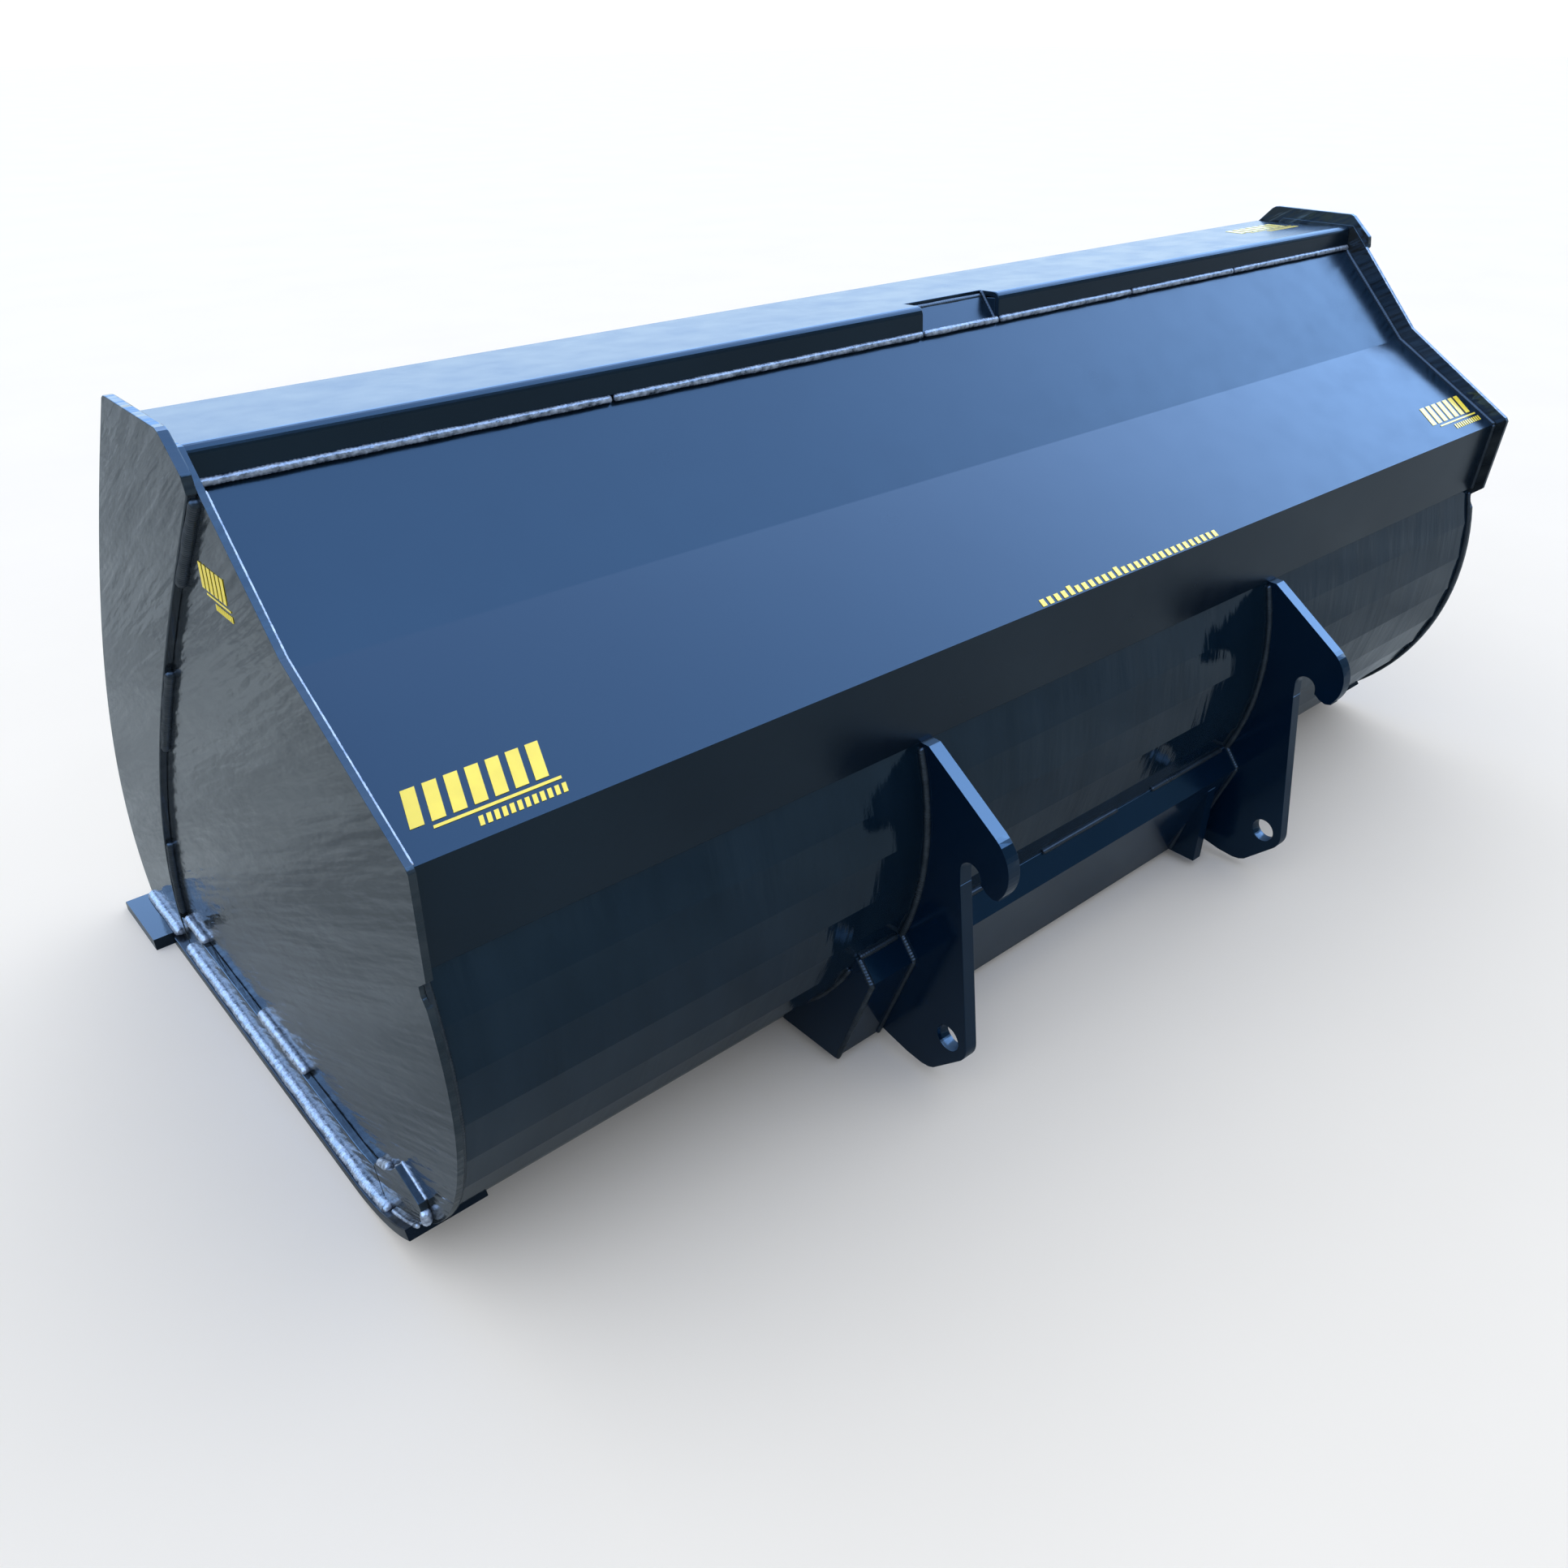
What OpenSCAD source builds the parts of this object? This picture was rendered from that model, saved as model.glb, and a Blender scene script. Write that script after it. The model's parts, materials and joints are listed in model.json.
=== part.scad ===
// Welded loader bucket with pin hooks, 108 inches over the cutting edge.
// X runs along the width, the mouth faces -Y, the machine is on +Y and Z is up.
// The origin is under the middle of the bucket, on the surface that it rests on.

/* [Widths] */
// Width of the cutting edge
edge_w = 2743; // [2690:1:3200]
// Width over the two side cutters
body_w = 2640; // [2400:1:2680]
// Distance between the middles of the two hook plates
hook_pitch = 951; // [900:1:1040]
// Width over the end caps of the heel brace
brace_w = 1184; // [1120:1:1400]
// Distance between the middles of the two foot gussets
gusset_pitch = 796; // [700:1:840]
// Width of the sight notch in the top rail
notch_w = 190; // [120:1:400]
// Width of a skid runner
runner_w = 127; // [90:1:160]

/* [Plate thicknesses] */
// Cutting edge
edge_t = 25.4; // [22:0.1:32]
// Floor and heel sheet, side plates, top rail and heel brace
sheet_t = 9.5; // [6:0.1:12]
// Upper back sheet
back_t = 8; // [6:0.1:10]
// Side cutters and the strips behind them
cutter_t = 12.7; // [10:0.1:16]
// Skid runners, which is also how far the floor stands off the ground
runner_t = 19; // [15:0.1:21]
// Hook plates and foot gussets
hook_t = 25.4; // [20:0.1:32]

/* [Cutting edge] */
// Depth of the cutting edge, front to back
edge_d = 203; // [180:1:230]
// Length of the sharpened bevel
bevel_d = 23; // [10:1:40]
// Thickness left at the tip of the bevel
tip_t = 6; // [3:0.5:12]
// Radius of the outer front corners
edge_corner_r = 14; // [5:1:20]

/* [Heel] */
// Outer radius of the rolled heel
heel_r = 548; // [546:1:550]
// Outer radius of the blend from the floor into the heel
blend_r = 400; // [380:1:420]
// Number of press-brake facets from the floor to the flange
heel_facets = 12; // [8:1:24]
// Distance that the side plates stand out of the heel
side_proud = 6; // [3:0.5:10]

/* [Side cutter] */
// Width of the curved side cutter band
cutter_band = 228; // [200:1:240]
// Distance of the side plate behind the cutter's front edge
side_setback = 40; // [20:1:60]
// Height of the reinforcing strip above the runner
strip_h = 68; // [50:1:90]

/* [Hooks and pins] */
// Width of the downward hook mouth
mouth_w = 44; // [38:0.5:46]
// Diameter of the lower pin bore
pin_d = 50; // [40:0.5:54]
// Radius of the plate around the pin bore
pin_boss_r = 44; // [40:0.5:46]

/* [Hidden] */
$fn = 96;

paint = "#161c24";
sheet_paint = "#27405f";
side_paint = "#5a6067";
edge_paint = "#5b7fb5";

// Outlines are [distance behind the tip, height above the ground].
depth = 1700;
cutter_top = 1236;

// Planes along the width
cutter_out = body_w / 2;
cutter_in = cutter_out - cutter_t;
side_in = cutter_in - sheet_t;
runner_out = cutter_out + 17;
runner_in = runner_out - runner_w;

// Heel: a blend arc off the floor, then the rolled arc, both by angle from straight down
floor_z = runner_t;
heel_c = [976, 530];
blend_c = [heel_c.x + sqrt(pow(heel_r - blend_r, 2) - pow(heel_c.y - floor_z - blend_r, 2)),
           floor_z + blend_r];
blend_end = atan2(blend_c.x - heel_c.x, heel_c.y - blend_c.y);
flange_angle = 105;
lap_angle = 111;
strip_joint = 14.5;
runner_end = 34;

// Heel strip: the arc of its top edge, by centre, radius and angles, and its rear end
rise_c = [1065, 352];
rise_r = 265;
rise_from = 21;
rise_to = 50;
strip_rear = [[1341, 135], [1341, 150], [1336, 159], [1325, 164]];

// Back sheet and top rail
crease = [1534, 828];
bend = [1273, 978];
sheet_top = [1060, 1199];
rail_front = [846, 1199];
rail_rear = [1101, 1210];
rail_low_z = 1168;
rail_bend_r = 12;
notch_front = 1052;

// Front curve of the side cutter and its top corner
cutter_curve = [[879, 1230], [-43, 400], [22, 25.4]];
cutter_head = [[1150, 1167], [1147, 1190], [1100, 1232], [1092, cutter_top - 1],
               [900, cutter_top], [889, 1235]];

// Side plate behind the cutter, from its top corner down to the heel
side_top_z = 1212;
side_rear = [[1108, side_top_z], [1149, 1168], [1298, 1005], [1556, 846], [1561, 838],
             [1539, 677], [1512, 656], [1512, 642]];
side_arc_top = 100;

// Hook plates
hook_top = [1525.5, 669];
hook_top_slope = 35.4;
nose_c = [1628.5, 510];
nose_r = 71.4;
mouth_c = [1620.5, 477];
mouth_low_z = 456;
hook_tip = [[1681, 459], [1668, mouth_low_z], [1655, 460], [1645, 468]];
pin_c = [1576.4, 118];
hook_foot = [[1542, 28], [1529, 22], [1512, 19.5], [1476, 22], [1430, 31], [1400, 38]];

// Heel brace, from its front lip to its upper edge on the heel
brace_path = [[1196, floor_z + 18], [1196, floor_z + 0.5], [1398, floor_z + 0.5],
              [1495, 238], [1463, 279]];
gusset_foot_y = 1464;
gusset_top = [1481, 205];

function unit(v) = v / norm(v);
function left_of(v) = [-v.y, v.x];
function reversed(p) = [for (i = [len(p) - 1 : -1 : 0]) p[i]];

// Points of an arc about c, by angle from +X
function arc(c, r, a0, a1, n) = [for (i = [0 : n]) let (a = a0 + (a1 - a0) * i / n)
    c + r * [cos(a), sin(a)]];

// Path moved sideways by d, with mitred corners
function shifted(p, d) = [for (i = [0 : len(p) - 1])
    let (j = max(i, 1), k = min(i + 1, len(p) - 1),
         a = left_of(unit(p[j] - p[j - 1])),
         b = left_of(unit(p[k] - p[k - 1])),
         n = unit(a + b))
    p[i] + d * n / (n * a)];

// Outline of a bent sheet of thickness t to the left of its path
function sheet(p, t) = concat(p, reversed(shifted(p, t)));

// Points on the heel from angle a0 to a1, off outside its outer face
function heel_point(a, off) = a < blend_end
    ? blend_c + (blend_r + off) * [sin(a), -cos(a)]
    : heel_c + (heel_r + off) * [sin(a), -cos(a)];
function heel_arc(a0, a1, n, off) = [for (i = [0 : n]) heel_point(a0 + (a1 - a0) * i / n, off)];

// Top edge of the heel strip, from its rear end down to the joint
function rise_point(a) = rise_c + rise_r * [sin(a), -cos(a)];
function strip_rise(n) = [for (i = [0 : n]) rise_point(rise_to + (rise_from - rise_to) * i / n)];

// Front curve of the cutter, moved back by off
function curve_point(t, off) =
    let (p = cutter_curve,
         at = pow(1 - t, 2) * p[0] + 2 * t * (1 - t) * p[1] + pow(t, 2) * p[2],
         along = unit((1 - t) * (p[1] - p[0]) + t * (p[2] - p[1])))
    at + off * left_of(along);
function cutter_arc(off, n) = [for (i = [0 : n]) curve_point(i / n, off)];

// Straight run past an end of the moved curve, to height z
function curve_end(t, off, z) =
    let (end = curve_point(t, off), along = cutter_curve[t + 1] - cutter_curve[t])
    [end.x + (z - end.y) * along.x / along.y, z];
function curve_head(off, z) = curve_end(0, off, z);
function curve_foot(off, z) = curve_end(1, off, z);

// Outer faces of the heel sheet and of the brace
wrapper_path = concat([[edge_d, floor_z]], heel_arc(0, flange_angle, heel_facets, 0),
                      [heel_point(lap_angle, 0)]);
flange_foot = heel_point(flange_angle, 0) + [back_t, 1];

// Extrudes an outline between two planes along the width
module plate(x0, x1) {
    translate([x0, -depth / 2, 0])
        rotate([90, 0, 90])
            linear_extrude(x1 - x0)
                children();
}

// Copies a left-hand part to its side: 1 is left (+X), -1 is right (-X)
module on_side(side) {
    if (side > 0) children();
    else mirror([1, 0, 0]) children();
}

// Everything inside the outer face of the heel sheet
module shell_inside() {
    polygon(concat(wrapper_path, [heel_c + [0, heel_r / 2], [edge_d, heel_c.y]]));
}

// Everything inside the outer face of the brace
module brace_inside() {
    polygon(concat(brace_path, [heel_c]));
}

module cutting_edge() {
    bevel = [[0, 0], [edge_d, 0], [edge_d, edge_t], [bevel_d, edge_t], [0, tip_t]];
    color(edge_paint)
        difference() {
            plate(-edge_w / 2, edge_w / 2) polygon(bevel);
            for (side = [-1, 1])
                scale([side, 1, 1])
                    translate([edge_w / 2 - edge_corner_r, -depth / 2 - 1, -1])
                        difference() {
                            cube([edge_corner_r + 1, edge_corner_r + 1, edge_t + 2]);
                            translate([0, edge_corner_r + 1, -1])
                                cylinder(r = edge_corner_r, h = edge_t + 4);
                        }
        }
}

module wrapper_sheet() {
    color(paint)
        plate(-side_in, side_in) polygon(sheet(wrapper_path, sheet_t));
}

module upper_back_sheet() {
    color(sheet_paint)
        plate(-side_in, side_in)
            polygon(sheet([flange_foot, crease, bend, sheet_top], back_t));
}

module top_rail() {
    corner = arc(rail_rear - rail_bend_r * [1, 1], rail_bend_r, 0, 90, 6);
    section = sheet(concat([[rail_rear.x, rail_low_z]], corner, [rail_front]), sheet_t);
    color(sheet_paint)
        difference() {
            plate(-side_in, side_in) polygon(section);
            translate([-notch_w / 2, notch_front - depth / 2, rail_low_z - 1])
                cube([notch_w, depth - notch_front, cutter_top]);
        }
}

// Small triangle that closes the hollow of the rail beside the notch
module rail_gusset(side) {
    inner = rail_rear - sheet_t * [1, 1];
    lean = unit(sheet_top - bend);
    low = bend + lean * (inner.x - bend.x) / lean.x;
    high = bend + lean * (rail_front.y - sheet_t - bend.y) / lean.y;
    color(paint)
        on_side(side)
            plate(notch_w / 2, notch_w / 2 + sheet_t)
                polygon([low, [inner.x, inner.y - 1], [high.x, inner.y - 3], high]);
}

module side_plate(side) {
    front = cutter_arc(side_setback, 24);
    heel = heel_arc(side_arc_top, 0, 32, side_proud);
    color(side_paint)
        on_side(side)
            plate(side_in, cutter_in)
                difference() {
                    polygon(concat(
                        [curve_head(side_setback, side_top_z)], front,
                        [curve_foot(side_setback, edge_t), [edge_d, edge_t]],
                        reversed(concat(side_rear, heel, [[edge_d, floor_z]]))));
                    translate([0, floor_z - side_proud * 4]) square([depth, side_proud * 4]);
                }
}

module side_cutter(side) {
    outline = concat(
        cutter_arc(0, 32), [[edge_d, edge_t], [edge_d, floor_z], curve_foot(cutter_band, floor_z)],
        reversed(cutter_arc(cutter_band, 32)), cutter_head);
    color(side_paint)
        on_side(side) plate(cutter_in, cutter_out) polygon(outline);
}

// Strip along the foot of the side plate, as far as the joint on the heel
module side_strip(side) {
    front = curve_foot(cutter_band, floor_z).x + 6;
    color(side_paint)
        on_side(side)
            plate(cutter_in, cutter_out)
                polygon(concat([[front, floor_z]], heel_arc(0, strip_joint, 6, 0),
                               heel_arc(strip_joint, 0, 6, -strip_h),
                               [[front, floor_z + strip_h]]));
}

// Short strip that carries on around the heel
module heel_strip(side) {
    joint_gap = 0.4;
    color(side_paint)
        on_side(side)
            plate(cutter_in, cutter_out)
                polygon(concat(heel_arc(strip_joint + joint_gap, blend_end, 8, 0), strip_rear,
                               strip_rise(8)));
}

module skid_runner(side) {
    path = concat([[edge_d, 0]], heel_arc(0, runner_end, 10, runner_t));
    color(paint)
        on_side(side) plate(runner_in, runner_out) polygon(sheet(path, runner_t));
}

module hook_plate(side) {
    nose = arc(nose_c, nose_r, 90 - hook_top_slope, -43, 14);
    boss = arc(pin_c, pin_boss_r, 4, -52, 6);
    mouth_x = mouth_c.x - mouth_w / 2;
    color(paint)
        on_side(side)
            plate(hook_pitch / 2 - hook_t / 2, hook_pitch / 2 + hook_t / 2)
                difference() {
                    polygon(concat([[heel_c.x + heel_r / 2, hook_top.y], hook_top], nose, hook_tip,
                                   [[mouth_x, mouth_low_z]], boss, hook_foot, [heel_c]));
                    shell_inside();
                    brace_inside();
                    translate([mouth_x, mouth_low_z - 10])
                        square([mouth_w, mouth_c.y - mouth_low_z + 10]);
                    translate(mouth_c) circle(d = mouth_w);
                    translate(pin_c) circle(d = pin_d);
                }
}

module heel_brace() {
    inside_caps = brace_w / 2 - sheet_t;
    color(paint)
        plate(-inside_caps, inside_caps)
            difference() {
                polygon(sheet(brace_path, sheet_t));
                shell_inside();
            }
}

module brace_cap(side) {
    color(paint)
        on_side(side)
            plate(brace_w / 2 - sheet_t, brace_w / 2)
                difference() {
                    brace_inside();
                    shell_inside();
                }
}

module foot_gusset(side) {
    color(paint)
        on_side(side)
            plate(gusset_pitch / 2 - hook_t / 2, gusset_pitch / 2 + hook_t / 2)
                difference() {
                    polygon([[brace_path[2].x, floor_z + 0.5], [gusset_foot_y, floor_z + 0.5],
                             gusset_top, heel_c]);
                    brace_inside();
                }
}

cutting_edge();
wrapper_sheet();
upper_back_sheet();
top_rail();
rail_gusset(1);  // rail_gusset_left
rail_gusset(-1);  // rail_gusset_right
side_plate(1);  // side_plate_left
side_plate(-1);  // side_plate_right
side_cutter(1);  // side_cutter_left
side_cutter(-1);  // side_cutter_right
side_strip(1);  // side_strip_left
side_strip(-1);  // side_strip_right
heel_strip(1);  // heel_strip_left
heel_strip(-1);  // heel_strip_right
skid_runner(1);  // skid_runner_left
skid_runner(-1);  // skid_runner_right
hook_plate(1);  // hook_plate_left
hook_plate(-1);  // hook_plate_right
heel_brace();
brace_cap(1);  // brace_cap_left
brace_cap(-1);  // brace_cap_right
foot_gusset(1);  // foot_gusset_left
foot_gusset(-1);  // foot_gusset_right
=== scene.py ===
"""Looks of the welded loader bucket: paint, weld beads, markings, floor, light and camera.

Lengths are in metres. X runs along the width, the mouth faces -Y, Z is up.
"""
import json
import math
import random

import bpy
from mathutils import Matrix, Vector


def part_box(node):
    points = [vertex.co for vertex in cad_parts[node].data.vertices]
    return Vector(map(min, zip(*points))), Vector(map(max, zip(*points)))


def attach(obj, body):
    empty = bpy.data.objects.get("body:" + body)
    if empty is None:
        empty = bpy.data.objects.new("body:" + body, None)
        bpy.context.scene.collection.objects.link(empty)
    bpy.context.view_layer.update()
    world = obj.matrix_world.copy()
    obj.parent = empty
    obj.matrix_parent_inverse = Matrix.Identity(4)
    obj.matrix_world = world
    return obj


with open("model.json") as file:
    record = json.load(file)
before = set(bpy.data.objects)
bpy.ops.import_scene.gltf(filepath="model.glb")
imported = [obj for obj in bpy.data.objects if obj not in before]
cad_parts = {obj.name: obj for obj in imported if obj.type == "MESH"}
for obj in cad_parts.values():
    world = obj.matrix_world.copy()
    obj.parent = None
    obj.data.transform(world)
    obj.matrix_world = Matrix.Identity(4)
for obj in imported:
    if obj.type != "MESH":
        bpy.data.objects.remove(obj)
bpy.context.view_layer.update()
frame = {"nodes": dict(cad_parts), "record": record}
nodes = frame["nodes"]
scene = bpy.context.scene
rng = random.Random(7)

# ---------------------------------------------------------------- frame sizes
LOW, HIGH = {}, {}
for name in nodes:
    LOW[name], HIGH[name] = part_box(name)

TIP_Y = LOW["cutting_edge"].y
EDGE_BACK_Y = HIGH["cutting_edge"].y
EDGE_TOP_Z = HIGH["cutting_edge"].z
CUTTER_OUT = HIGH["side_cutter_left"].x
CUTTER_IN = LOW["side_cutter_left"].x
SIDE_IN = LOW["side_plate_left"].x
FLOOR_Z = LOW["wrapper_sheet"].z
SHEET_T = 0.0095
STRIP_H = 0.068
LEDGE_Z = FLOOR_Z + STRIP_H
CAP_OUT = HIGH["brace_cap_left"].x
RUNNER_IN = LOW["skid_runner_left"].x

# Heel arcs, as in the CAD: centre [y, z], outer radius, end angle of the blend arc
HEEL_C, HEEL_R = (TIP_Y + 0.976, 0.530), 0.548
BLEND_R = 0.400
BLEND_C = (HEEL_C[0] + math.sqrt((HEEL_R - BLEND_R) ** 2 - (HEEL_C[1] - FLOOR_Z - BLEND_R) ** 2),
           FLOOR_Z + BLEND_R)
BLEND_END = math.degrees(math.atan2(BLEND_C[0] - HEEL_C[0], HEEL_C[1] - BLEND_C[1]))

# Top edge of the heel strip, as in the CAD: centre [y, z] and radius, then its rear end
RISE_C, RISE_R = (TIP_Y + 1.065, 0.352), 0.265
RISE_REAR = (TIP_Y + 1.336, 0.160)
STRIP_REAR = [(TIP_Y + 1.343, 0.148), (TIP_Y + 1.341, 0.124)]

# Back sheet and rail, as in the CAD
CREASE = (TIP_Y + 1.534, 0.828)
BEND = (TIP_Y + 1.273, 0.978)
SHEET_TOP = (TIP_Y + 1.060, 1.199)
RAIL_REAR_Y = HIGH["top_rail"].y
RAIL_TOP_Z = HIGH["top_rail"].z
RAIL_FRONT = (LOW["top_rail"].y, 1.199)
FLANGE_FOOT = (TIP_Y + 1.5133, 0.6728)
NOTCH_X = 0.095
NOTCH_DEPTH = 0.049

# Front curve of the side cutter and its top rear corner, as in the CAD
CURVE = ((0.879, 1.230), (-0.043, 0.400), (0.022, 0.0254))
CUTTER_BAND = 0.228
CUTTER_CORNER = (TIP_Y + 1.146, 1.158)

# Upper edge of the side plate, and the brace from its upper edge down to its foot, as in the CAD
SIDE_TOP = [(TIP_Y + y, z) for y, z in ((1.149, 1.168), (1.298, 1.005), (1.556, 0.846))]
BRACE = [(TIP_Y + y, z) for y, z in ((1.463, 0.279), (1.495, 0.238), (1.398, 0.0195))]
BRACE_LIP = (TIP_Y + 1.196, FLOOR_Z + 0.0005)


def heel(angle, off=0.0):
    """[y, z] on the heel at an angle from straight down, off outside the outer face."""
    centre, radius = (BLEND_C, BLEND_R) if angle < BLEND_END else (HEEL_C, HEEL_R)
    a = math.radians(angle)
    return (centre[0] + (radius + off) * math.sin(a), centre[1] - (radius + off) * math.cos(a))


def rise(angle):
    """[y, z] on the top edge of the heel strip at an angle from straight down."""
    a = math.radians(angle)
    return (RISE_C[0] + RISE_R * math.sin(a), RISE_C[1] - RISE_R * math.cos(a))


def cutter_curve(t, off=0.0):
    """[y, z] on the side cutter's front curve, moved back by off."""
    p = [Vector((TIP_Y + y, z)) for y, z in CURVE]
    at = (1 - t) ** 2 * p[0] + 2 * t * (1 - t) * p[1] + t ** 2 * p[2]
    along = ((1 - t) * (p[1] - p[0]) + t * (p[2] - p[1])).normalized()
    return (at.x - off * along.y, at.y + off * along.x)


def slope(t):
    """[y, z] on the upper slope's outer face, 0 at the bend and 1 under the rail."""
    return (BEND[0] + t * (SHEET_TOP[0] - BEND[0]), BEND[1] + t * (SHEET_TOP[1] - BEND[1]))


def lower_slope(t):
    """[y, z] on the lower slope's outer face, 0 at the crease and 1 at the bend."""
    return (CREASE[0] + t * (BEND[0] - CREASE[0]), CREASE[1] + t * (BEND[1] - CREASE[1]))


# ---------------------------------------------------------------- materials
# Degrees that the ripples of the side plates rise to the rear
STREAK_TURN = 28


def new_material(name):
    m = bpy.data.materials.new(name)
    m.use_nodes = True
    tree = m.node_tree
    shader = next(n for n in tree.nodes if n.type == "BSDF_PRINCIPLED")
    return m, tree, shader


def noise(tree, scale, detail, finer=(1, 1, 1), rough=0.5, turn=0.0):
    """Noise in object space, finer along some axes, which are first turned about X by degrees."""
    coord = tree.nodes.new("ShaderNodeTexCoord")
    mapping = tree.nodes.new("ShaderNodeMapping")
    mapping.vector_type = "TEXTURE"
    mapping.inputs["Rotation"].default_value = (math.radians(turn), 0, 0)
    mapping.inputs["Scale"].default_value = [1 / f for f in finer]
    tex = tree.nodes.new("ShaderNodeTexNoise")
    tex.inputs["Scale"].default_value = scale
    tex.inputs["Detail"].default_value = detail
    tex.inputs["Roughness"].default_value = rough
    tree.links.new(coord.outputs["Object"], mapping.inputs["Vector"])
    tree.links.new(mapping.outputs["Vector"], tex.inputs["Vector"])
    return tex.outputs["Fac"]


def ramp(tree, fac, stops):
    node = tree.nodes.new("ShaderNodeValToRGB")
    el = node.color_ramp.elements
    while len(el) < len(stops):
        el.new(0.5)
    for e, (pos, col) in zip(el, stops):
        e.position = pos
        e.color = (*col, 1) if len(col) == 3 else col
    tree.links.new(fac, node.inputs["Fac"])
    return node.outputs["Color"]


def bump(tree, shader, layers):
    """Chains bump layers of (height socket, strength, distance) into the base and the coat."""
    last = None
    for height, strength, distance in layers:
        node = tree.nodes.new("ShaderNodeBump")
        node.inputs["Strength"].default_value = strength
        node.inputs["Distance"].default_value = distance
        tree.links.new(height, node.inputs["Height"])
        if last:
            tree.links.new(last, node.inputs["Normal"])
        last = node.outputs["Normal"]
    tree.links.new(last, shader.inputs["Normal"])
    tree.links.new(last, shader.inputs["Coat Normal"])


# Heights of the true normal over which the painted sky reflection on up-facing faces fades in
UP_FROM, UP_FULL = 0.68, 0.80


def facing_up(tree):
    """Rises from 0 to 1 as a face turns up to the sky."""
    geometry = tree.nodes.new("ShaderNodeNewGeometry")
    split = tree.nodes.new("ShaderNodeSeparateXYZ")
    tree.links.new(geometry.outputs["True Normal"], split.inputs["Vector"])
    return ramp(tree, split.outputs["Z"], [(UP_FROM, (0, 0, 0)), (UP_FULL, (1, 1, 1))])


def gloss_paint(name, dark, light, patch=(1, 1, 1), patch_scale=3.0, ior=1.5, turn=0.0,
                tint=(0.50, 0.78, 1.0), rough=(0.05, 0.10), waves=(), peel=0.15, sky_sheen=None):
    """Gloss enamel: patchy base colour, orange peel and the long waves of rolled sheet.

    Each wave is (scale, detail, finer, strength, height in metres). Sky sheen is a pale blue colour
    painted onto faces that look up: a painted reflection of the sky.
    """
    m, tree, s = new_material(name)
    colour = ramp(tree, noise(tree, patch_scale, 4, patch, 0.55, turn), [(0.3, dark), (0.7, light)])
    # Painted sky reflection: a pale blue colour replaces the base colour on faces that look up
    if sky_sheen:
        mix = tree.nodes.new("ShaderNodeMix")
        mix.data_type = "RGBA"
        mix.inputs[7].default_value = (*sky_sheen, 1)
        tree.links.new(facing_up(tree), mix.inputs[0])
        tree.links.new(colour, mix.inputs[6])
        colour = mix.outputs[2]
    tree.links.new(colour, s.inputs["Base Color"])
    grime = noise(tree, 14, 6)
    r0, r1 = rough
    tree.links.new(ramp(tree, grime, [(0.35, (r0,) * 3), (0.75, (r1,) * 3)]), s.inputs["Roughness"])
    s.inputs["IOR"].default_value = ior
    s.inputs["Specular Tint"].default_value = (*tint, 1)
    layers = [(noise(tree, 420, 2), peel, 0.0004)]
    for scale, detail, finer, strength, height in waves:
        layers.append((noise(tree, scale, detail, finer, turn=turn), strength, height))
    bump(tree, s, layers)
    return m


SHEET_DARK, SHEET_LIGHT = (0.001, 0.003, 0.008), (0.002, 0.006, 0.013)
PAINT = {
    "sheet_paint": gloss_paint("sheet_paint", SHEET_DARK, SHEET_LIGHT, rough=(0.20, 0.28),
                               waves=[(3, 2, (1, 1, 1), 0.03, 0.02)]),
    "side_paint": gloss_paint(
        "side_paint", (0.005, 0.008, 0.012), (0.022, 0.028, 0.034), patch=(1, 1, 14),
        patch_scale=1.8, ior=1.55, rough=(0.08, 0.15), turn=STREAK_TURN,
        waves=[(2.6, 2, (1, 1, 14), 0.25, 0.02), (14, 2, (1, 1, 5), 0.22, 0.006)]),
    "runner_paint": gloss_paint("runner_paint", (0.003, 0.005, 0.009), (0.007, 0.010, 0.016),
                                ior=1.33, tint=(0.5, 0.7, 0.9), rough=(0.15, 0.3)),
    # Hook plates: the light blue colour on their up-facing top edges is a painted sky reflection
    "hook_paint": gloss_paint("hook_paint", (0.0006, 0.005, 0.017), (0.001, 0.008, 0.024),
                              ior=1.55, tint=(0.45, 0.75, 1.0), rough=(0.12, 0.20), peel=0.1,
                              sky_sheen=(0.09, 0.17, 0.31)),
    "edge_steel": gloss_paint("edge_steel", (0.004, 0.007, 0.012), (0.008, 0.012, 0.020), ior=1.37),
}
HEEL_PAINT = gloss_paint("heel_paint", (0.001, 0.005, 0.012), (0.003, 0.009, 0.019), patch=(5, 1, 1),
                         rough=(0.04, 0.09), waves=[(2.2, 4, (6, 1, 1), 0.14, 0.02)])

# Dull beads in shade, and glossy beads whose pale blue-white base colour is a painted highlight, where
# they flash in the light
WELD = gloss_paint("weld_paint", (0.004, 0.008, 0.014), (0.016, 0.024, 0.034), patch_scale=60,
                   ior=1.5, tint=(0.75, 0.88, 1.0), rough=(0.25, 0.4), peel=0.3)
# Rail beads: a mid blue base colour, which is a softer painted highlight
WELD_SOFT_HIGHLIGHT = gloss_paint("weld_soft_painted_highlight", (0.012, 0.022, 0.040), (0.30, 0.38, 0.52), patch_scale=90,
                         ior=2.1, tint=(0.8, 0.9, 1.0), rough=(0.12, 0.3),
                         waves=[(170, 4, (1, 1, 1), 0.6, 0.003)], peel=0.3)
# Foot beads and the side plates' edge line: a pale blue-white base colour, which is a painted
# highlight
WELD_HIGHLIGHT = gloss_paint("weld_painted_highlight", (0.010, 0.022, 0.050), (0.42, 0.52, 0.70),
                          patch_scale=110, ior=2.3, tint=(0.9, 0.96, 1.0), rough=(0.05, 0.2),
                          waves=[(170, 4, (1, 1, 1), 0.6, 0.003)], peel=0.3)


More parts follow.
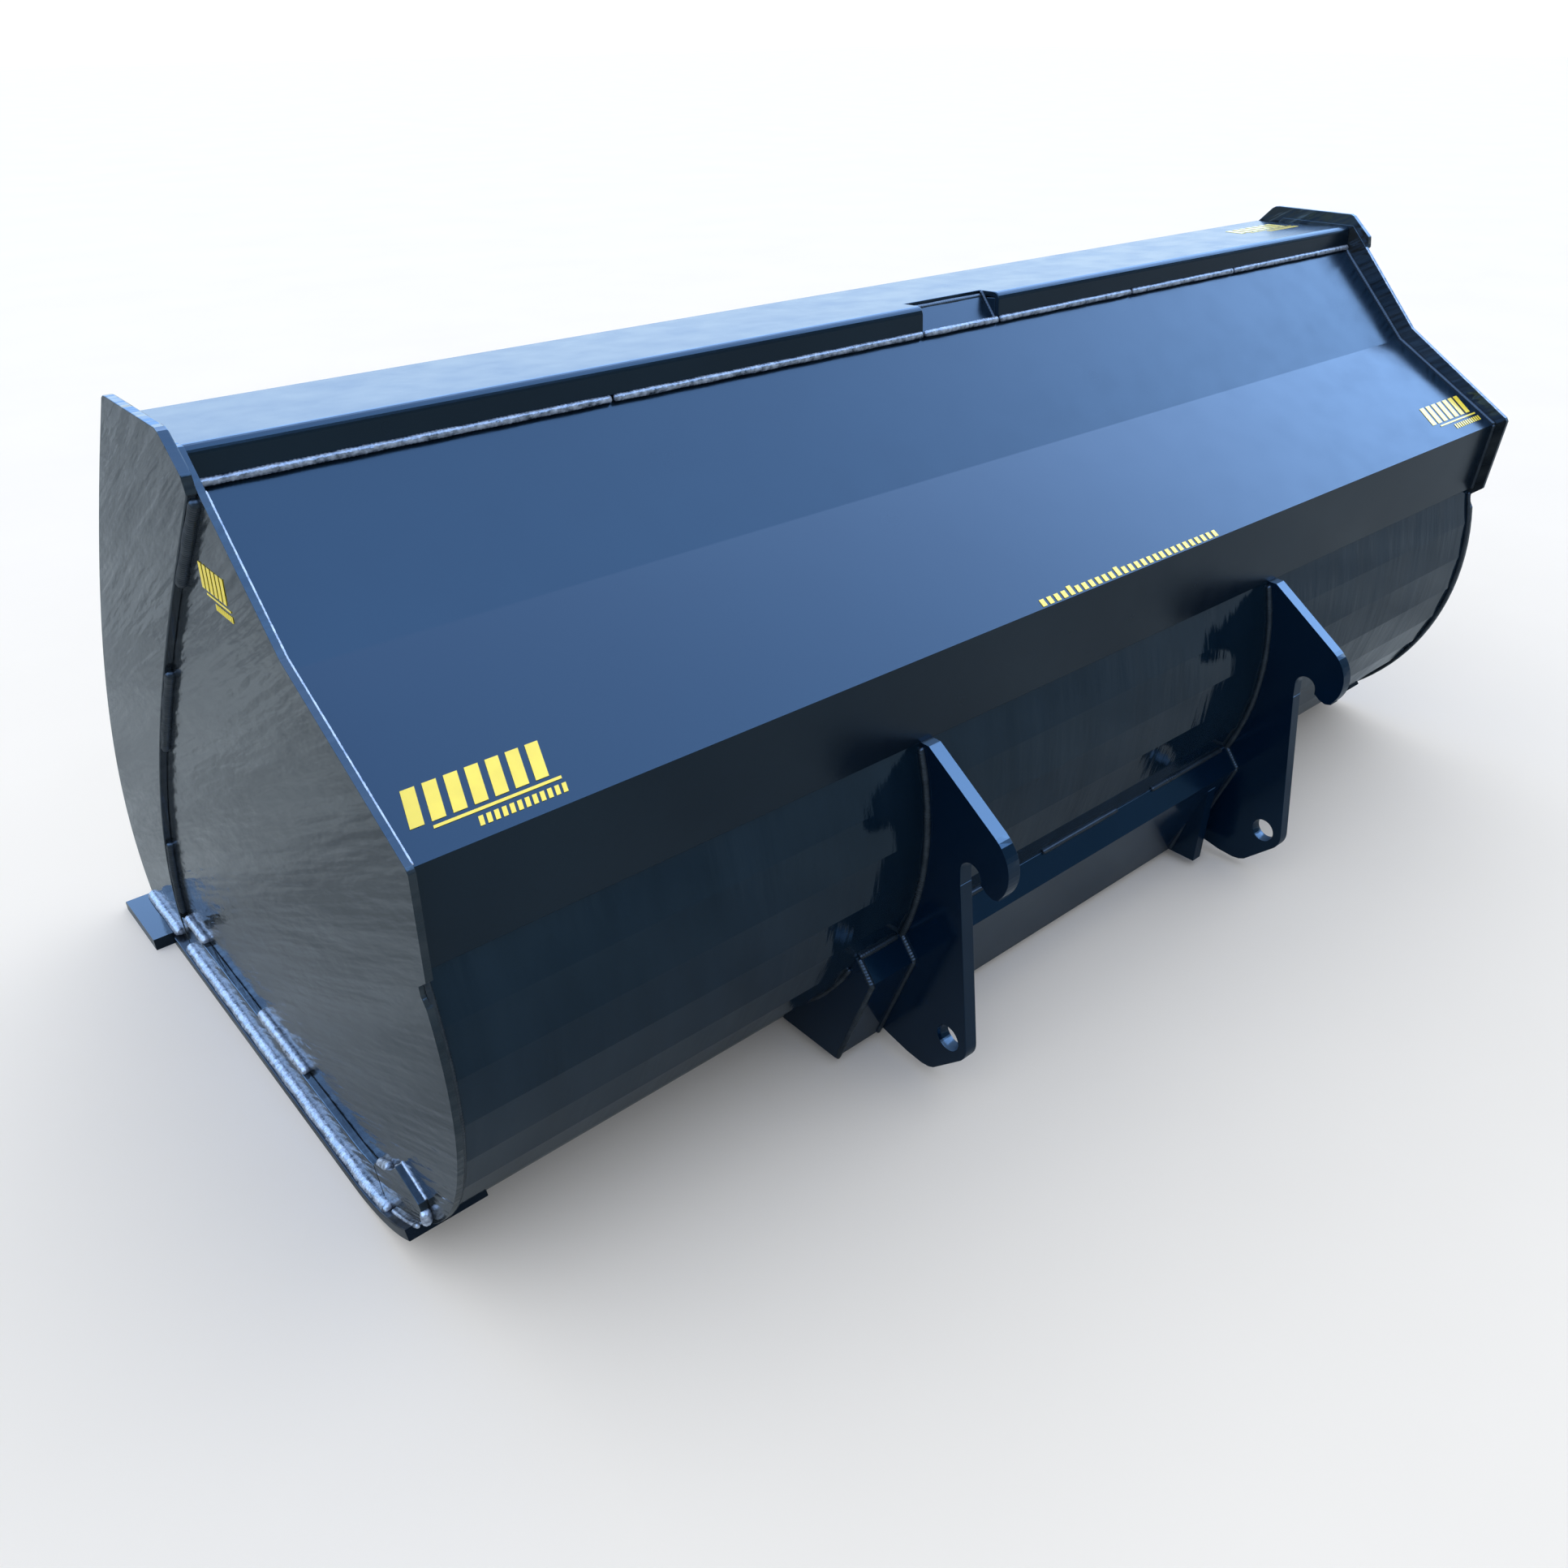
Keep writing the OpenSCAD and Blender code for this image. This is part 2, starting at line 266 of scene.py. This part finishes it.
def vinyl(name, colour, shade):
    """Slightly uneven printed vinyl."""
    m, tree, s = new_material(name)
    tree.links.new(ramp(tree, noise(tree, 30, 5), [(0.35, shade), (0.7, colour)]),
                   s.inputs["Base Color"])
    s.inputs["Roughness"].default_value = 0.35
    s.inputs["Coat Weight"].default_value = 0.4
    s.inputs["Coat Roughness"].default_value = 0.1
    bump(tree, s, [(noise(tree, 300, 2), 0.1, 0.0003)])
    return m


YELLOW = vinyl("decal_yellow", (0.93, 0.78, 0.04), (0.85, 0.70, 0.03))


# ---------------------------------------------------------------- CAD nodes
SLOT_OF = {row["node"]: row["material_slot"] for row in frame["record"]["subparts"]}
MERGE = 1e-5
EDGE_BEVEL = 0.0016
EDGE_ANGLE = 28
for name, obj in nodes.items():
    for slot in obj.material_slots:
        slot.material = HEEL_PAINT if name == "wrapper_sheet" else PAINT[SLOT_OF[name]]
    weld = obj.modifiers.new("weld", "WELD")
    weld.merge_threshold = MERGE
    bevel = obj.modifiers.new("bevel", "BEVEL")
    bevel.width = EDGE_BEVEL
    bevel.segments = 2
    bevel.limit_method = "ANGLE"
    bevel.angle_limit = math.radians(EDGE_ANGLE)
    bevel.harden_normals = False


# ---------------------------------------------------------------- mesh helpers
def finish_piece(name, verts, faces, material, smooth=True):
    mesh = bpy.data.meshes.new(name)
    mesh.from_pydata([tuple(v) for v in verts], [], faces)
    mesh.validate()
    mesh.update()
    mesh.polygons.foreach_set("use_smooth", [smooth] * len(mesh.polygons))
    obj = bpy.data.objects.new(name, mesh)
    bpy.context.collection.objects.link(obj)
    mesh.materials.append(material)
    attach(obj, "root")
    return obj


def resample(path, step):
    """Evenly spaced points along a path, about a step apart."""
    path = [Vector(p) for p in path]
    length = sum((b - a).length for a, b in zip(path, path[1:]))
    count = max(2, round(length / step))
    out, seg, start = [], 0, 0.0
    for i in range(count + 1):
        want = length * i / count
        while seg < len(path) - 2 and start + (path[seg + 1] - path[seg]).length < want:
            start += (path[seg + 1] - path[seg]).length
            seg += 1
        span = (path[seg + 1] - path[seg]).length
        out.append(path[seg].lerp(path[seg + 1], (want - start) / span))
    return out


# A weld bead: points in a ring, ripple length, rings in a ripple and their sizes, and how far the
# middle of a ring runs ahead of its edges, as a share of the radius
RING = 10
RIPPLE = 0.0055
RINGS_PER_RIPPLE = 3
CREST = (0.93, 1.0, 1.05)
CRESCENT = 0.45


def bead_mesh(path, out_dir, radius):
    """Rings of one weld bead: rippled, crescent-shaped, tapered at both ends."""
    step = RIPPLE / RINGS_PER_RIPPLE
    points = resample(path, step)
    verts, faces = [], []
    last = len(points) - 1
    wander = rng.uniform(0, 6.3)
    for i, p in enumerate(points):
        tangent = (points[min(i + 1, last)] - points[max(i - 1, 0)]).normalized()
        out = Vector(out_dir(p) if callable(out_dir) else out_dir)
        out = (out - tangent * out.dot(tangent)).normalized()
        across = tangent.cross(out)
        ends = min(1.0, (min(i, last - i) * step + radius * 0.25) / (radius * 1.1))
        fade = math.sqrt(max(0.05, 1 - (1 - ends) ** 2))
        slow = 1 + 0.05 * math.sin(i * 0.11 + wander) + rng.uniform(-0.02, 0.02)
        r = radius * fade * CREST[i % RINGS_PER_RIPPLE] * slow
        for k in range(RING):
            a = 2 * math.pi * k / RING
            shift = CRESCENT * radius * max(0.0, math.cos(a)) * fade
            verts.append(p + out * (r * math.cos(a)) + across * (r * math.sin(a)) + tangent * shift)
    for i in range(last):
        for k in range(RING):
            a, b = i * RING + k, i * RING + (k + 1) % RING
            faces.append((a, b, b + RING, a + RING))
    faces.append(tuple(reversed(range(RING))))
    faces.append(tuple(range(last * RING, (last + 1) * RING)))
    return verts, faces


def beads(name, runs, material=None):
    """One piece made of several beads, each (path, outward direction, radius)."""
    verts, faces = [], []
    for path, out_dir, radius in runs:
        v, f = bead_mesh(path, out_dir, radius)
        base = len(verts)
        verts += v
        faces += [tuple(base + j for j in face) for face in f]
    return finish_piece(name, verts, faces, material or WELD)


def along_x(y, z, x0, x1):
    return [(x0, y, z), (x1, y, z)]


def in_plane(x, points):
    return [(x, y, z) for y, z in points]


def unit2(y, z):
    n = math.hypot(y, z)
    return y / n, z / n


# ---------------------------------------------------------------- weld beads
BOTH_SIDES = ((1, "left"), (-1, "right"))

# How far a bead's centre line stands off the plates it joins, and the gap at each end of a length
OFF = 0.001
STITCH_GAP = 0.002

# Radius of each kind of bead
BEAD = {
    "rail": 0.0056, "notch_side": 0.004, "notch_sheet": 0.0055,
    # The thinnest bead is a line of painted highlight along the inner upper edge of each side plate
    "slope": 0.0055, "flange": 0.005, "heel": 0.0045, "inside": 0.0055, "painted_edge_line": 0.0013,
    "cutter": 0.0085, "cutter_foot": 0.011, "ledge": 0.0095,
    "heel_strip": 0.0085, "heel_strip_corner": 0.0028, "runner": 0.0115, "runner_tail": 0.0035,
    "edge_top": 0.006, "edge_under": 0.0075,
    "hook_on_heel": 0.0062, "hook_on_lip": 0.0055, "hook_on_brace": 0.0045,
    "brace": 0.006, "cap": 0.0055, "cap_on_heel": 0.005, "brace_foot": 0.004, "foot_gusset": 0.0055,
}

# Where the interrupted beads start and end: along X, along the cutter's curve, behind the tip
RAIL_BREAKS = [-SIDE_IN, -0.83, -0.48, -NOTCH_X, NOTCH_X, 0.72, SIDE_IN]
BRACE_STITCHES = ((-0.585, -0.50), (-0.44, -0.20), (-0.09, 0.13), (0.22, 0.45), (0.50, 0.585))
CUTTER_STITCHES = ((0.0, 0.033), (0.168, 0.32), (0.583, 0.885))
LEDGE_STITCHES = ((0.272, 0.380), (0.660, 0.870))
RUNNER_START = 0.265

# Straight out of the upper slope
LEAN = unit2(SHEET_TOP[0] - BEND[0], SHEET_TOP[1] - BEND[1])
SLOPE_OUT = (0, LEAN[1], -LEAN[0])


def slope_z(y):
    """Height of the upper slope's outer face at y."""
    return BEND[1] + (y - BEND[0]) * LEAN[1] / LEAN[0]


def from_heel(side, sense):
    """Outward direction beside a side plate, away from the heel's centre (1) or to it (-1)."""
    return lambda p: (-side * 0.7, sense * (p.y - HEEL_C[0]), sense * (p.z - HEEL_C[1]))


def rail_welds():
    """Rail toe on the upper slope in several lengths, and the edges of the sight notch."""
    toe_y, toe_z = RAIL_REAR_Y, slope_z(RAIL_REAR_Y)
    runs = [(along_x(toe_y + 0.0015, toe_z + 0.008, a + STITCH_GAP, b - STITCH_GAP),
             (0, 0.9, 0.45), BEAD["rail"]) for a, b in zip(RAIL_BREAKS, RAIL_BREAKS[1:])]
    # The rail toe beads carry a softer painted highlight in their base colour
    beads("rail_welds", runs, WELD_SOFT_HIGHLIGHT)

    inset = 0.004
    front_y = RAIL_REAR_Y - NOTCH_DEPTH
    runs = [([(side * NOTCH_X, front_y + inset, slope_z(front_y)),
              (side * NOTCH_X, toe_y - inset, toe_z + OFF)], SLOPE_OUT, BEAD["notch_side"])
            for side in (-1, 1)]
    runs.append((along_x(SHEET_TOP[0] - inset, SHEET_TOP[1] - OFF, -NOTCH_X, NOTCH_X),
                 SLOPE_OUT, BEAD["notch_sheet"]))
    beads("notch_welds", runs)


def side_sheet_welds():
    """Side plates against the back sheet and the heel, outside and then inside."""
    for side, label in BOTH_SIDES:
        x = side * (SIDE_IN - OFF)
        slopes = [slope(0.86), slope(0.5), BEND, lower_slope(0.5), CREASE]
        arc = [heel(a, OFF) for a in range(104, 20, -3)]
        beads("side_sheet_weld_" + label, [
            (in_plane(x, slopes), (-side * 0.7, 0.5, 0.5), BEAD["slope"]),
            (in_plane(x, [CREASE, FLANGE_FOOT]), (-side * 0.7, 0.7, 0), BEAD["flange"]),
            (in_plane(x, arc), from_heel(side, 1), BEAD["heel"])])

    for side, label in BOTH_SIDES:
        x = side * (SIDE_IN - OFF)
        inside = [(EDGE_BACK_Y + 0.01, FLOOR_Z + SHEET_T)]
        inside += [heel(a, -SHEET_T) for a in range(0, 106, 4)]
        beads("inner_weld_" + label, [(in_plane(x, inside), from_heel(side, -1), BEAD["inside"])])


def painted_edge_highlights():
    """A thin bead along the inner upper edge of each side plate, in the pale weld colour: a painted
    highlight line where the edge catches the light.
    """
    for side, label in BOTH_SIDES:
        # Painted highlight line along the plate's inner upper edge
        beads("edge_highlight_line_" + label, [(in_plane(side * SIDE_IN, SIDE_TOP), (-side * 0.7, 0.5, 0.5),
                                      BEAD["painted_edge_line"])], WELD_HIGHLIGHT)


def cutter_welds():
    """Rear edge of each side cutter, in stitches."""
    pieces = 12
    for side, label in BOTH_SIDES:
        runs = []
        for t0, t1 in CUTTER_STITCHES:
            pts = [cutter_curve(t0 + (t1 - t0) * i / pieces, CUTTER_BAND + 0.003)
                   for i in range(pieces + 1)]
            if t0 == 0.0:
                pts.insert(0, CUTTER_CORNER)
            runs.append((in_plane(side * (CUTTER_IN + 0.003), pts), (side * 0.8, 0.5, -0.3),
                         BEAD["cutter"]))
        beads("cutter_welds_" + label, runs)


def foot_welds():
    """Foot of each side: cutter on cutting edge, strip ledge, heel strip and skid runner."""
    for side, label in BOTH_SIDES:
        out_x = side * CUTTER_OUT
        proud_x = out_x + side * 0.002
        ledge_x = side * (CUTTER_IN + 0.004)
        up_and_out, on_ledge = (side * 0.7, 0, 0.7), (side * 0.6, 0, 0.8)
        foot_z, ledge_z = EDGE_TOP_Z + 0.002, LEDGE_Z + 0.002
        runs = [([(proud_x, TIP_Y + 0.030, foot_z), (proud_x, EDGE_BACK_Y + 0.012, foot_z)],
                 up_and_out, BEAD["cutter_foot"])]
        for y0, y1 in LEDGE_STITCHES:
            runs.append(([(ledge_x, TIP_Y + y0, ledge_z), (ledge_x, TIP_Y + y1, ledge_z)],
                         on_ledge, BEAD["ledge"]))
        joint = [rise(a) for a in range(22, 36, 2)]
        runs.append((in_plane(ledge_x, joint), on_ledge, BEAD["heel_strip"]))
        corner = [rise(a) for a in range(38, 51, 2)] + [RISE_REAR]
        runs.append((in_plane(side * CUTTER_IN, corner), (side * 0.5, 0.2, 0.8),
                     BEAD["heel_strip_corner"]))
        runs.append((in_plane(out_x - side * 0.005, STRIP_REAR), (side * 0.5, 0.8, 0),
                     BEAD["heel_strip"]))
        runner = [(TIP_Y + RUNNER_START, FLOOR_Z), (BLEND_C[0], FLOOR_Z)]
        runner += [heel(a, OFF) for a in range(2, 19, 2)]
        runs.append((in_plane(proud_x, runner), up_and_out, BEAD["runner"]))
        tail = [heel(a, OFF) for a in range(19, 39, 2)]
        runs.append((in_plane(proud_x, tail), up_and_out, BEAD["runner_tail"]))
        # These foot beads carry a painted highlight in their pale base colour
        beads("foot_welds_" + label, runs, WELD_HIGHLIGHT)


def edge_welds():
    """Cutting edge to floor: above, and below between the skid runners."""
    beads("edge_welds", [
        (along_x(EDGE_BACK_Y + 0.002, FLOOR_Z + SHEET_T, -SIDE_IN, SIDE_IN), (0, 0.2, 1),
         BEAD["edge_top"]),
        (along_x(EDGE_BACK_Y + 0.003, FLOOR_Z - 0.002, OFF - RUNNER_IN, RUNNER_IN - OFF),
         (0, 0.6, -0.8), BEAD["edge_under"])])


def hook_welds():
    """Hook plates on the heel and on the brace, both faces of each."""
    top, knee, foot = BRACE
    arc = [heel(a, OFF) for a in range(104, 61, -3)]
    for _, label in BOTH_SIDES:
        node = "hook_plate_" + label
        runs = []
        for x, s in ((LOW[node].x, -1), (HIGH[node].x, 1)):
            face_x = x + s * OFF
            runs.append((in_plane(face_x, arc + [top]), (s * 0.7, 0.7, 0), BEAD["hook_on_heel"]))
            runs.append((in_plane(face_x, [top, knee]), (s * 0.7, 0.5, 0.5), BEAD["hook_on_lip"]))
            runs.append((in_plane(face_x, [knee, foot]), (s * 0.7, 0.7, -0.2), BEAD["hook_on_brace"]))
        beads("hook_welds_" + label, runs)


def brace_welds():
    """Brace in stitches on the heel, its end caps, and the foot gussets on it."""
    top, knee, foot = BRACE
    runs = [(along_x(top[0] + OFF, top[1] + OFF, x0, x1), (0, 0.6, 0.8), BEAD["brace"])
            for x0, x1 in BRACE_STITCHES]
    arc = [heel(a, 0.0) for a in range(20, 61, 3)]
    for side in (-1, 1):
        x = side * (CAP_OUT - 0.0055)
        runs.append((in_plane(x, BRACE), (0, 1, 0.1), BEAD["cap"]))
        runs.append((in_plane(side * (CAP_OUT + 0.0005), arc), (side * 0.7, 0.5, -0.5),
                     BEAD["cap_on_heel"]))
        runs.append((in_plane(x, [foot, BRACE_LIP]), (0, 0, -1), BEAD["brace_foot"]))
    beads("brace_welds", runs)

    edge = [(foot[0] + 0.066, 0.196), (foot[0] + 0.004, 0.026)]
    for _, label in BOTH_SIDES:
        node = "foot_gusset_" + label
        beads("foot_gusset_welds_" + label,
              [(in_plane(x + s * OFF, edge), (s * 0.7, 0.7, -0.2), BEAD["foot_gusset"])
               for x, s in ((LOW[node].x, -1), (HIGH[node].x, 1))])


rail_welds()
side_sheet_welds()
# Painted highlight lines along the side plates' inner upper edges
painted_edge_highlights()
cutter_welds()
foot_welds()
edge_welds()
hook_welds()
brace_welds()


# ---------------------------------------------------------------- markings
DECAL_LIFT = 0.0004
DECAL_T = 0.0005


def decal(name, origin, along, up, shapes):
    """Thin yellow vinyl shapes. Each is a list of (along, up) points on a face."""
    origin, along = Vector(origin), Vector(along).normalized()
    up = Vector(up).normalized()
    normal = along.cross(up).normalized()
    verts, faces = [], []
    for shape in shapes:
        n, base = len(shape), len(verts)
        for lift in (DECAL_LIFT, DECAL_LIFT + DECAL_T):
            verts += [origin + along * a + up * b + normal * lift for a, b in shape]
        faces.append(tuple(base + i for i in reversed(range(n))))
        faces.append(tuple(base + n + i for i in range(n)))
        faces += [(base + i, base + (i + 1) % n, base + n + (i + 1) % n, base + n + i)
                  for i in range(n)]
    return finish_piece(name, verts, faces, YELLOW, smooth=False)


BAR_LEAN = 0.25


def slanted(a0, b0, width, height, lean=BAR_LEAN):
    """A bar that leans over as it rises."""
    return [(a0, b0), (a0 + width, b0), (a0 + width + lean * height, b0 + height),
            (a0 + lean * height, b0 + height)]


RIGHTWARD = (-1, 0, 0)
SLOPE_UP = (0, *unit2(BEND[0] - CREASE[0], BEND[1] - CREASE[1]))
RAIL_UP = (0, RAIL_FRONT[0] - RAIL_REAR_Y, RAIL_FRONT[1] - RAIL_TOP_Z)


def on_lower_slope(x, up):
    """A point on the lower slope, up from the crease."""
    return (x, CREASE[0] + SLOPE_UP[1] * up, CREASE[1] + SLOPE_UP[2] * up)


def badge(width, height, count=7):
    """Generic block marking: slanted bars over two thin lines."""
    bar_z, bar_h = 0.36 * height, 0.64 * height
    pitch = (width - BAR_LEAN * bar_h) / count
    rows = [slanted(i * pitch, bar_z, pitch * 0.66, bar_h) for i in range(count)]
    rows.append(slanted(0.12 * width, 0.24 * height, 0.83 * width, 0.05 * height))
    rows += [slanted((0.36 + 0.05 * i) * width, 0.0, 0.03 * width, 0.16 * height) for i in range(12)]
    return rows


def line_of_bars(count=28, pitch=0.0171, width=0.010, low=0.014, high=0.019, tall=(4, 11)):
    """Generic line marking: a row of small bars, two of them taller."""
    return [slanted(i * pitch, 0, width, high if i in tall else low, 0.1) for i in range(count)]


SIDE_MARK_Z = 1.004
decal("marking_left", on_lower_slope(1.272, 0.016), RIGHTWARD, SLOPE_UP, badge(0.197, 0.080))
decal("marking_right", on_lower_slope(-1.090, 0.024), RIGHTWARD, SLOPE_UP, badge(0.192, 0.080))
decal("marking_middle", on_lower_slope(0.243, 0.003), RIGHTWARD, SLOPE_UP, line_of_bars())
decal("marking_rail", (-1.05, TIP_Y + 1.000, RAIL_TOP_Z - 0.0045), RIGHTWARD, RAIL_UP,
      badge(0.20, 0.085))
decal("marking_side_left", (CUTTER_IN, TIP_Y + 1.060, SIDE_MARK_Z), (0, 1, 0), (0, 0, 1),
      badge(0.100, 0.058, 6))
decal("marking_side_right", (-CUTTER_IN, TIP_Y + 1.160, SIDE_MARK_Z), (0, -1, 0), (0, 0, 1),
      badge(0.100, 0.058, 6))


# ---------------------------------------------------------------- stage, light, camera
FLOOR_HALF = 60.0
PALE = ((0.88, 0.88, 0.88), (0.90, 0.90, 0.90))
GROUND = ((0.24, 0.27, 0.29), (0.42, 0.47, 0.50))


def make_floor():
    """A pale floor. Gloss sees it darker and patchier, as yard ground."""
    m, tree, s = new_material("pale_floor")
    pale = ramp(tree, noise(tree, 1.5, 3), [(0.3, PALE[0]), (0.7, PALE[1])])
    ground = ramp(tree, noise(tree, 2.0, 4), [(0.3, GROUND[0]), (0.7, GROUND[1])])
    seen_in_gloss(tree, pale, ground, s.inputs["Base Color"])
    s.inputs["Roughness"].default_value = 0.9
    s.inputs["Specular IOR Level"].default_value = 0.1
    r = FLOOR_HALF
    mesh = bpy.data.meshes.new("floor")
    mesh.from_pydata([(-r, -r, 0), (r, -r, 0), (r, r, 0), (-r, r, 0)], [], [(0, 1, 2, 3)])
    floor = bpy.data.objects.new("floor", mesh)
    bpy.context.collection.objects.link(floor)
    mesh.materials.append(m)


def seen_in_gloss(tree, plain, in_gloss, target):
    """Feeds plain to the target, or in_gloss for a ray that a glossy surface sends out."""
    path = tree.nodes.new("ShaderNodeLightPath")
    mix = tree.nodes.new("ShaderNodeMix")
    mix.data_type = "RGBA"
    tree.links.new(path.outputs["Is Glossy Ray"], mix.inputs[0])
    tree.links.new(plain, mix.inputs[6])
    tree.links.new(in_gloss, mix.inputs[7])
    tree.links.new(mix.outputs[2], target)


# Radiance of the dome that gloss sees, by the sine of the height above the horizon
SKY = [(0.0, (0.80, 0.84, 0.92)), (0.06, (1.25, 1.50, 1.75)), (0.12, (1.40, 1.85, 2.30)),
       (0.18, (1.50, 2.05, 2.80)), (0.31, (0.85, 1.75, 3.60)), (0.47, (2.60, 4.30, 7.45)),
       (0.65, (2.40, 3.65, 6.30)), (0.85, (2.15, 3.20, 5.50)), (1.0, (1.75, 2.55, 4.50))]
SKY_TOP = 7.5

# Radiance of the white dome that everything else sees, and the dark backdrop in the gloss: its
# colour, and where it fades in along Y and out along Z
DOME = 1.1
BACKDROP = (0.14, 0.24, 0.34)
BACKDROP_Y = (0.30, 0.48)
BACKDROP_Z = (0.50, 0.64)


def scaled(tree, colour, factor):
    node = tree.nodes.new("ShaderNodeVectorMath")
    node.operation = "SCALE"
    node.inputs["Scale"].default_value = factor
    tree.links.new(colour, node.inputs[0])
    return node.outputs["Vector"]


def make_world():
    """A soft white dome.

    Gloss sees it as a sky, pale low down and bluer overhead, with a dark backdrop on the +Y side.
    """
    world = bpy.data.worlds.new("studio_dome")
    scene.world = world
    world.use_nodes = True
    tree = world.node_tree
    background = next(n for n in tree.nodes if n.type == "BACKGROUND")
    coord = tree.nodes.new("ShaderNodeTexCoord")
    split = tree.nodes.new("ShaderNodeSeparateXYZ")
    tree.links.new(coord.outputs["Generated"], split.inputs["Vector"])
    sky = ramp(tree, split.outputs["Z"], [(z, tuple(c / SKY_TOP for c in rgb)) for z, rgb in SKY])
    behind = ramp(tree, split.outputs["Y"], [(BACKDROP_Y[0], (0, 0, 0)), (BACKDROP_Y[1], (1, 1, 1))])
    low = ramp(tree, split.outputs["Z"], [(BACKDROP_Z[0], (1, 1, 1)), (BACKDROP_Z[1], (0, 0, 0))])
    both = tree.nodes.new("ShaderNodeMath")
    both.operation = "MULTIPLY"
    tree.links.new(behind, both.inputs[0])
    tree.links.new(low, both.inputs[1])
    mix = tree.nodes.new("ShaderNodeMix")
    mix.data_type = "RGBA"
    mix.inputs[7].default_value = (*BACKDROP, 1)
    tree.links.new(both.outputs["Value"], mix.inputs[0])
    tree.links.new(scaled(tree, sky, SKY_TOP), mix.inputs[6])
    white = ramp(tree, split.outputs["Z"], [(0.0, (1.0, 1.0, 1.0)), (1.0, (0.98, 0.99, 1.0))])
    seen_in_gloss(tree, scaled(tree, white, DOME), mix.outputs[2], background.inputs["Color"])


CAMERA_AT = (1.7156, 1.9324, 1.6515)
CAMERA_TURN = (60.936, 0.150, 136.811)
CAMERA_LENS, CAMERA_SENSOR = 30.165, 36.0
CAMERA_SHIFT = (-0.0769, -0.0262)


def make_camera():
    data = bpy.data.cameras.new("camera")
    data.lens = CAMERA_LENS
    data.sensor_width = CAMERA_SENSOR
    data.shift_x, data.shift_y = CAMERA_SHIFT
    data.clip_start, data.clip_end = 0.05, 200
    camera = bpy.data.objects.new("camera", data)
    camera.location = CAMERA_AT
    camera.rotation_euler = [math.radians(a) for a in CAMERA_TURN]
    bpy.context.collection.objects.link(camera)
    scene.camera = camera


make_floor()
make_world()
make_camera()
scene.view_settings.view_transform = "Standard"
